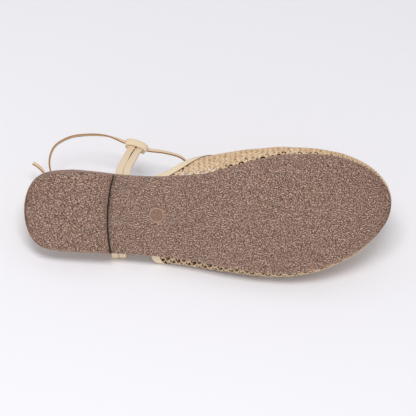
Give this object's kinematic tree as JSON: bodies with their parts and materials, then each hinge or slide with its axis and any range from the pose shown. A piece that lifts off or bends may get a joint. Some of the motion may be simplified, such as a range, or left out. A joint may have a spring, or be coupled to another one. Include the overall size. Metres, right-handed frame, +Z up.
{
  "type": "braided sandal",
  "caption": "Left flat sandal lying on its side: rubber sole with a low heel, hollow woven raffia vamp, leather collar binding, split ankle straps and a thin tied ankle lace.",
  "frame": {"origin": "on the floor under the middle of the lying shoe's box, the lace left out", "axes": "+Z up from the floor, +X towards the toe, -Y the way the sole faces, and partly up"},
  "size_m": [0.251, 0.0981, 0.0768],
  "materials": {
    "brown_rubber": "matte, fine pebbled grain",
    "footbed_leather": "smooth matte",
    "woven_raffia": "matte straw",
    "beige_leather": "satin"
  },
  "bodies": {
    "root": {"outsole": "brown_rubber", "heel_lift": "brown_rubber", "insole": "footbed_leather", "woven_vamp": "woven_raffia", "collar_binding": "beige_leather", "strap_medial": "beige_leather", "strap_lateral": "beige_leather", "lace_loop": "beige_leather", "lace_knot": "beige_leather", "lace_tail_long": "beige_leather", "lace_tail_short": "beige_leather"}
  },
  "joints": []
}
